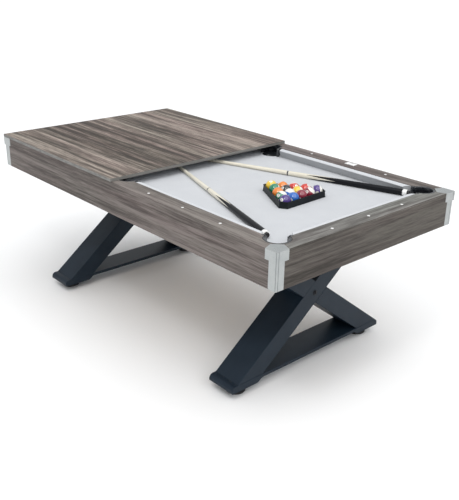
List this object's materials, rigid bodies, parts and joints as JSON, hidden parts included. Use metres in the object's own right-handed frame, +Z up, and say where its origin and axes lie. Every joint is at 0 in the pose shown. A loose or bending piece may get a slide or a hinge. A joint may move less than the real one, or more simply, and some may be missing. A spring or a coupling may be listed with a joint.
{
  "type": "pool table",
  "caption": "Home pool table on crossed box legs, with a half-length dining top, corner castings, drop pockets and its play set.",
  "frame": {"origin": "on the floor under the middle of the table", "axes": "+X along the table towards the open end, +Y towards the back long side, +Z up"},
  "size_m": [2.134, 1.128, 0.8288],
  "materials": {
    "board": "raw fibreboard",
    "cloth": "pale grey woven table cloth",
    "cushion_cloth": "pale grey woven table cloth over rubber",
    "wood_long": "weathered grey-brown wood laminate, grain along the length",
    "wood_end": "weathered grey-brown wood laminate, grain across the end",
    "wood_top": "weathered grey-brown wood laminate, strips along the length",
    "casting": "satin silver-grey",
    "pocket_plastic": "black moulded plastic",
    "leg_coat": "slate-black satin powder coat",
    "leveller": "black rubber foot",
    "plate": "blank brushed plate",
    "rack_plastic": "black moulded plastic",
    "cue_wood": "varnished maple and black butt",
    "ball_yellow": "polished phenolic resin",
    "ball_blue": "polished phenolic resin",
    "ball_red": "polished phenolic resin",
    "ball_purple": "polished phenolic resin",
    "ball_orange": "polished phenolic resin",
    "ball_green": "polished phenolic resin",
    "ball_maroon": "polished phenolic resin",
    "ball_black": "polished phenolic resin"
  },
  "bodies": {
    "table": {"bed": "board", "cross_beam_right": "board", "cross_beam_left": "board", "bed_cloth": "cloth", "cushion_front_right": "cushion_cloth", "cushion_front_left": "cushion_cloth", "cushion_back_right": "cushion_cloth", "cushion_back_left": "cushion_cloth", "cushion_right": "cushion_cloth", "cushion_left": "cushion_cloth", "rail_front": "wood_long", "rail_back": "wood_long", "apron_front": "wood_long", "apron_back": "wood_long", "rail_right": "wood_end", "rail_left": "wood_end", "apron_right": "wood_end", "apron_left": "wood_end", "corner_casting_front_right": "casting", "corner_casting_back_right": "casting", "corner_casting_front_left": "casting", "corner_casting_back_left": "casting", "pocket_front_right": "pocket_plastic", "pocket_back_right": "pocket_plastic", "pocket_back_left": "pocket_plastic", "pocket_front_left": "pocket_plastic", "pocket_front_middle": "pocket_plastic", "pocket_back_middle": "pocket_plastic", "leg_beam_right": "leg_coat", "leg_upper_arm_right": "leg_coat", "leg_lower_arm_right": "leg_coat", "floor_bar_right": "leg_coat", "leg_beam_left": "leg_coat", "leg_upper_arm_left": "leg_coat", "leg_lower_arm_left": "leg_coat", "floor_bar_left": "leg_coat", "rail_plate": "plate"},
    "foot_front_right": {"leveller_front_right": "leveller"},
    "foot_back_right": {"leveller_back_right": "leveller"},
    "foot_front_left": {"leveller_front_left": "leveller"},
    "foot_back_left": {"leveller_back_left": "leveller"},
    "dining_cover": {"dining_top": "wood_top"},
    "rack": {"triangle_rack": "rack_plastic"},
    "ball_set": {"ball_01": "ball_yellow", "ball_02": "ball_blue", "ball_03": "ball_red", "ball_04": "ball_purple", "ball_05": "ball_orange", "ball_06": "ball_green", "ball_07": "ball_maroon", "ball_08": "ball_black", "ball_09": "ball_yellow", "ball_10": "ball_blue", "ball_11": "ball_red", "ball_12": "ball_purple", "ball_13": "ball_orange", "ball_14": "ball_green", "ball_15": "ball_maroon"},
    "front_cue": {"cue_front": "cue_wood"},
    "back_cue": {"cue_back": "cue_wood"}
  },
  "joints": [
    {"name": "foot_front_right_travel", "type": "slide", "parent": "table", "child": "foot_front_right", "axis": [0, 0, -1], "range_m": [0, 0.015]},
    {"name": "foot_back_right_travel", "type": "slide", "parent": "table", "child": "foot_back_right", "axis": [0, 0, -1], "range_m": [0, 0.015]},
    {"name": "foot_front_left_travel", "type": "slide", "parent": "table", "child": "foot_front_left", "axis": [0, 0, -1], "range_m": [0, 0.015]},
    {"name": "foot_back_left_travel", "type": "slide", "parent": "table", "child": "foot_back_left", "axis": [0, 0, -1], "range_m": [0, 0.015]},
    {"name": "dining_cover_lift", "type": "slide", "parent": "table", "child": "dining_cover", "axis": [0, 0, 1], "range_m": [0, 0.3]},
    {"name": "ball_set_lift", "type": "slide", "parent": "table", "child": "ball_set", "axis": [0, 0, 1], "range_m": [0, 0.2]},
    {"name": "rack_lift", "type": "slide", "parent": "ball_set", "child": "rack", "axis": [0, 0, 1], "range_m": [0, 0.2]},
    {"name": "front_cue_roll", "type": "hinge", "parent": "table", "child": "front_cue", "pos_m": [-0.27933, -0.03519, 0.7786], "axis": [0, 0, 1], "range_deg": [0, 9]},
    {"name": "back_cue_roll", "type": "hinge", "parent": "table", "child": "back_cue", "pos_m": [-0.24333, 0.05419, 0.7786], "axis": [0, 0, -1], "range_deg": [0, 4]}
  ]
}
